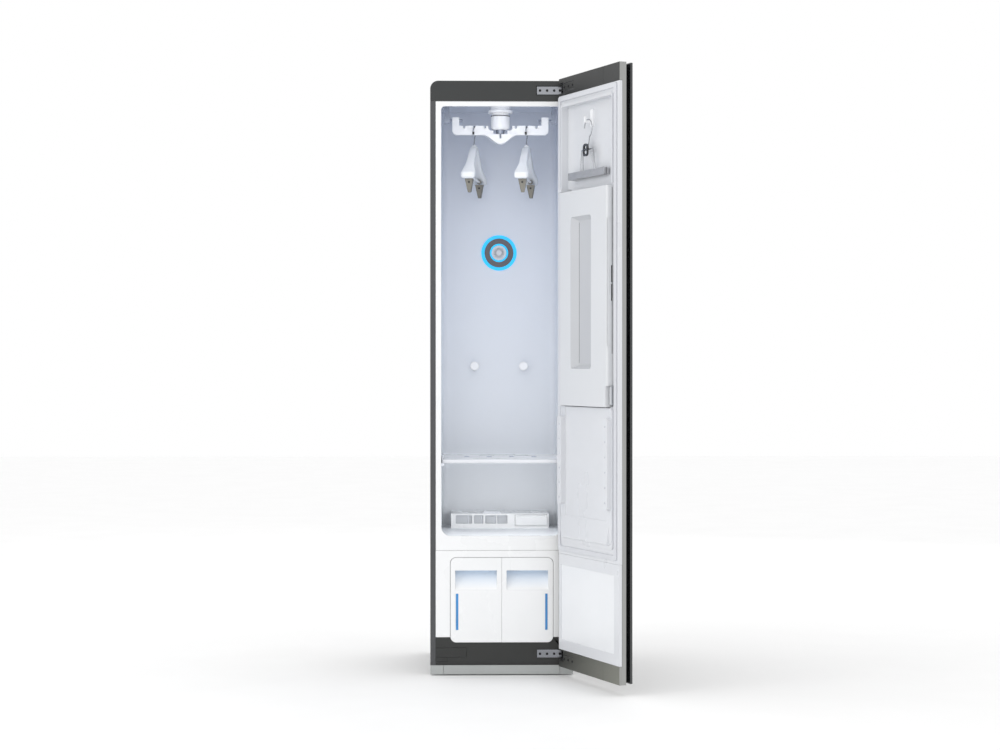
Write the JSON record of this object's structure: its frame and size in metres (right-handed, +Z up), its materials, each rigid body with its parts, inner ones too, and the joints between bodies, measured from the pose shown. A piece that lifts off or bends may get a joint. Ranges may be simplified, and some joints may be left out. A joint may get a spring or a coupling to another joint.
{
  "type": "steam garment cabinet with door trouser press",
  "caption": "Tall steam garment cabinet with an open hinged door that holds a trouser press, moving hanger bar, shelf, water tanks and vents.",
  "frame": {"origin": "on the floor under the middle of the cabinet body, the door left out", "axes": "+X to the right as seen from the front, +Y from the front to the back, +Z up"},
  "size_m": [0.5955, 0.9743, 1.85],
  "materials": {
    "steel_wrap": "satin",
    "header_dark": "painted satin",
    "zinc_sheet": "satin",
    "white_plastic": "gloss",
    "fascia_dark": "satin",
    "plinth_silver": "metallic paint",
    "chamber_plastic": "satin",
    "hinge_chrome": "polished",
    "vent_grey": "satin",
    "cyan_light": "glowing",
    "lamp_white": "glowing",
    "drive_metal": "satin",
    "dark_metal": "matte",
    "coil_metal": "satin",
    "board_green": "satin",
    "foot_rubber": "matte",
    "door_metal": "painted satin",
    "door_black": "satin",
    "door_front_glass": "gloss",
    "liner_white": "satin",
    "gasket_rubber": "matte",
    "ironing_metal": "satin",
    "latch_metal": "satin",
    "hanger_metal": "satin",
    "lock_black": "gloss",
    "hanger_white": "satin",
    "filter_mesh": "matte"
  },
  "bodies": {
    "cabinet": {"side_panel_left": "steel_wrap", "side_panel_right": "steel_wrap", "back_panel": "zinc_sheet", "top_cover": "header_dark", "front_header": "header_dark", "front_frame": "white_plastic", "lower_front_panel": "white_plastic", "base_fascia": "fascia_dark", "plinth": "plinth_silver", "base_plate": "zinc_sheet", "chamber_liner": "chamber_plastic", "tank_bay": "chamber_plastic", "hinge_brackets": "hinge_chrome", "hinge_blank_cover": "fascia_dark", "steam_vent": "vent_grey", "vent_light_rings": "cyan_light", "garment_pegs": "white_plastic", "ceiling_lamp": "lamp_white", "drive_housing": "white_plastic", "drive_motor": "dark_metal", "hanger_supports": "chamber_plastic", "shelf_rails": "chamber_plastic", "intake_cover": "white_plastic", "air_duct": "chamber_plastic", "compressor": "dark_metal", "heat_exchangers": "coil_metal", "steam_generator": "coil_metal", "water_pumps": "dark_metal", "blower_housing": "chamber_plastic", "control_board": "board_green", "power_inlet": "door_black", "rear_feet": "foot_rubber"},
    "foot_left": {"front_foot_left": "foot_rubber"},
    "foot_right": {"front_foot_right": "foot_rubber"},
    "door": {"door_frame": "door_metal", "door_core": "door_black", "door_glass": "door_front_glass", "door_liner": "liner_white", "door_lower_liner": "liner_white", "door_gasket": "gasket_rubber", "press_bed": "ironing_metal", "press_hinge_lugs": "liner_white", "press_latch": "latch_metal", "trouser_peg": "white_plastic"},
    "press": {"press_cover": "white_plastic", "press_pad": "ironing_metal"},
    "handle": {"press_handle": "white_plastic"},
    "trouser_hanger": {"trouser_hanger": "hanger_metal"},
    "clamp_bar": {"trouser_clamp": "hanger_metal"},
    "clamp_lock": {"trouser_lock": "lock_black"},
    "hanger_bar": {"moving_hanger": "hanger_white"},
    "crank": {"drive_crank": "drive_metal"},
    "hanger_left": {"left_hanger": "hanger_white"},
    "hanger_right": {"right_hanger": "hanger_white"},
    "shelf": {"shelf": "white_plastic"},
    "drain_tank": {"drain_tank": "white_plastic"},
    "water_tank": {"water_tank": "white_plastic"},
    "lint_filter": {"lint_filter": "filter_mesh"},
    "aroma_cartridge": {"aroma_cartridge": "white_plastic"},
    "blower_wheel": {"blower_wheel": "dark_metal"}
  },
  "joints": [
    {"name": "door_hinge", "type": "hinge", "parent": "cabinet", "child": "door", "pos_m": [0.2025, -0.3005, 0.941], "axis": [0, 0, 1], "range_deg": [-111.5, 7]},
    {"name": "press_cover_hinge", "type": "hinge", "parent": "door", "child": "press", "pos_m": [0.18194, -0.36019, 1.168], "axis": [0, 0, -1], "range_deg": [0, 75]},
    {"name": "press_handle_hinge", "type": "hinge", "parent": "press", "child": "handle", "pos_m": [0.30186, -0.66817, 1.21], "axis": [0, 0, -1], "range_deg": [0, 25], "stiffness_Nm_per_rad": 0.05},
    {"name": "trouser_hanger_swing", "type": "hinge", "parent": "door", "child": "trouser_hanger", "pos_m": [0.25474, -0.50133, 1.6981], "axis": [-0.9304, -0.3665, 0], "range_deg": [-6, 6]},
    {"name": "clamp_bar_hinge", "type": "hinge", "parent": "trouser_hanger", "child": "clamp_bar", "pos_m": [0.25047, -0.50086, 1.613], "axis": [-0.3665, 0.9304, 0], "range_deg": [0, 12]},
    {"name": "clamp_lock_slide", "type": "slide", "parent": "trouser_hanger", "child": "clamp_lock", "axis": [0, 0, 1], "range_m": [0, 0.014]},
    {"name": "crank_turn", "type": "hinge", "parent": "cabinet", "child": "crank", "pos_m": [0, -0.0485, 1.75], "axis": [0, 0, 1], "range_deg": [-46, 46]},
    {"name": "hanger_bar_slide", "type": "slide", "parent": "cabinet", "child": "hanger_bar", "axis": [1, 0, 0], "range_m": [-0.00707, 0.00707]},
    {"name": "left_hanger_sway", "type": "hinge", "parent": "hanger_bar", "child": "hanger_left", "pos_m": [-0.084, -0.0485, 1.731], "axis": [0, 1, 0], "range_deg": [-10, 10]},
    {"name": "right_hanger_sway", "type": "hinge", "parent": "hanger_bar", "child": "hanger_right", "pos_m": [0.084, -0.0485, 1.731], "axis": [0, 1, 0], "range_deg": [-10, 10]},
    {"name": "shelf_lift", "type": "slide", "parent": "cabinet", "child": "shelf", "axis": [0, 0, 1], "range_m": [0, 0.06]},
    {"name": "drain_tank_slide", "type": "slide", "parent": "cabinet", "child": "drain_tank", "axis": [0, -1, 0], "range_m": [0, 0.15]},
    {"name": "water_tank_slide", "type": "slide", "parent": "cabinet", "child": "water_tank", "axis": [0, -1, 0], "range_m": [0, 0.15]},
    {"name": "lint_filter_lift", "type": "slide", "parent": "cabinet", "child": "lint_filter", "axis": [0, 0, 1], "range_m": [0, 0.035]},
    {"name": "aroma_cartridge_slide", "type": "slide", "parent": "cabinet", "child": "aroma_cartridge", "axis": [0, -1, 0], "range_m": [0, 0.07]},
    {"name": "blower_wheel_spin", "type": "hinge", "parent": "cabinet", "child": "blower_wheel", "pos_m": [0.112, 0.098, 0.18], "axis": [0, 0, 1], "continuous": true},
    {"name": "left_foot_turn", "type": "hinge", "parent": "cabinet", "child": "foot_left", "pos_m": [-0.18, -0.2235, 0.01], "axis": [0, 0, 1], "continuous": true},
    {"name": "right_foot_turn", "type": "hinge", "parent": "cabinet", "child": "foot_right", "pos_m": [0.18, -0.2235, 0.01], "axis": [0, 0, 1], "continuous": true}
  ],
  "couplings": [
    {"joint": "crank_turn", "follows": "hanger_bar_slide", "rad_per_m": 111.11}
  ]
}
